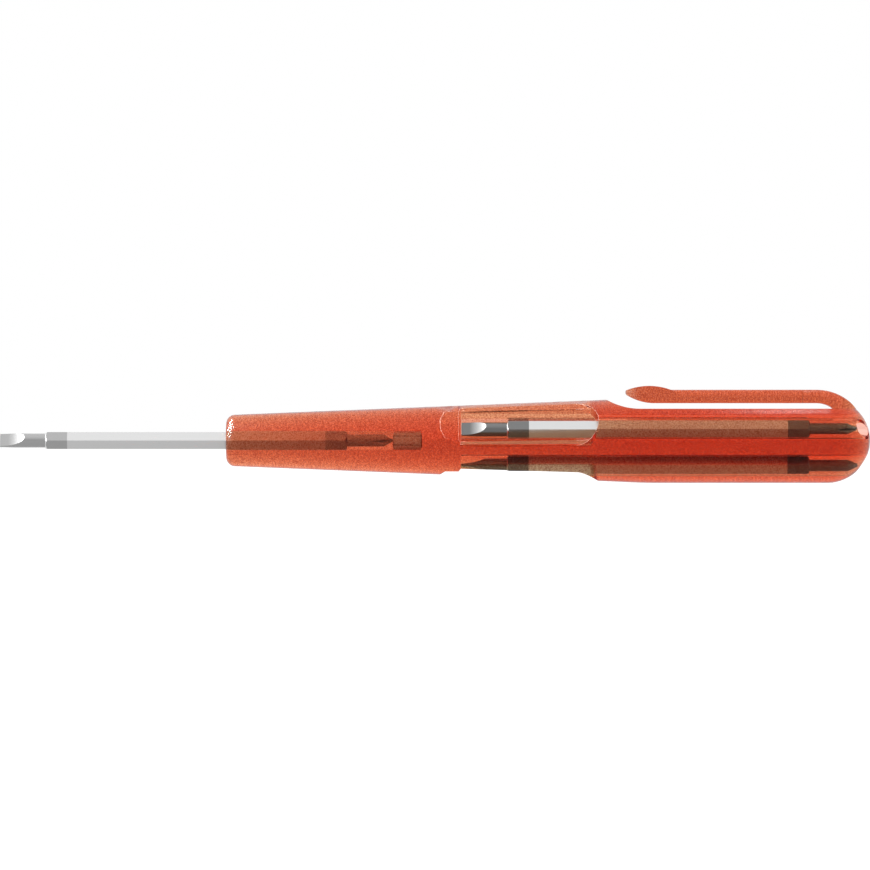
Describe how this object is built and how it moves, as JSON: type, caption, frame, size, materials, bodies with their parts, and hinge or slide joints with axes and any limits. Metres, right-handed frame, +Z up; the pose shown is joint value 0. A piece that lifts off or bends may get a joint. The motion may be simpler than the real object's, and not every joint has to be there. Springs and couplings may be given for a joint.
{
  "type": "pocket screwdriver",
  "caption": "Slim pocket screwdriver with a translucent moulded handle, pocket clip and reversible hexagonal blades, one in the nose and spares stored in the handle.",
  "frame": {"origin": "centre of the working slotted tip's end, on the tool's axis", "axes": "+X along the tool from the working tip to the domed tail, +Z up through the pocket clip, +Y across"},
  "size_m": [0.155, 0.015, 0.0173],
  "materials": {
    "handle_plastic": "translucent red, satin, fine moulded grain",
    "blade_steel": "satin nickel plated, bare ground steel near the ends",
    "magnet_metal": "dull sintered"
  },
  "bodies": {
    "handle": {"handle_body": "handle_plastic", "retaining_magnet": "magnet_metal"},
    "clip": {"clip_arm": "handle_plastic"},
    "blade_in_use": {"blade_in_use": "blade_steel"},
    "stored_blade_front": {"stored_blade_front": "blade_steel"},
    "stored_blade_back": {"stored_blade_back": "blade_steel"},
    "stored_blade_bottom": {"stored_blade_bottom": "blade_steel"}
  },
  "joints": [
    {"name": "clip_flex", "type": "hinge", "parent": "handle", "child": "clip", "pos_m": [0.143, 0, 0.00903], "axis": [0, 1, 0], "range_deg": [0, 4], "stiffness_Nm_per_rad": 2.1},
    {"name": "blade_in_use_pull", "type": "slide", "parent": "handle", "child": "blade_in_use", "axis": [-1, 0, 0], "range_m": [0, 0.031]},
    {"name": "stored_blade_front_pull", "type": "slide", "parent": "handle", "child": "stored_blade_front", "axis": [1, 0, 0], "range_m": [0, 0.074]},
    {"name": "stored_blade_back_pull", "type": "slide", "parent": "handle", "child": "stored_blade_back", "axis": [1, 0, 0], "range_m": [0, 0.074]},
    {"name": "stored_blade_bottom_pull", "type": "slide", "parent": "handle", "child": "stored_blade_bottom", "axis": [1, 0, 0], "range_m": [0, 0.074]}
  ]
}
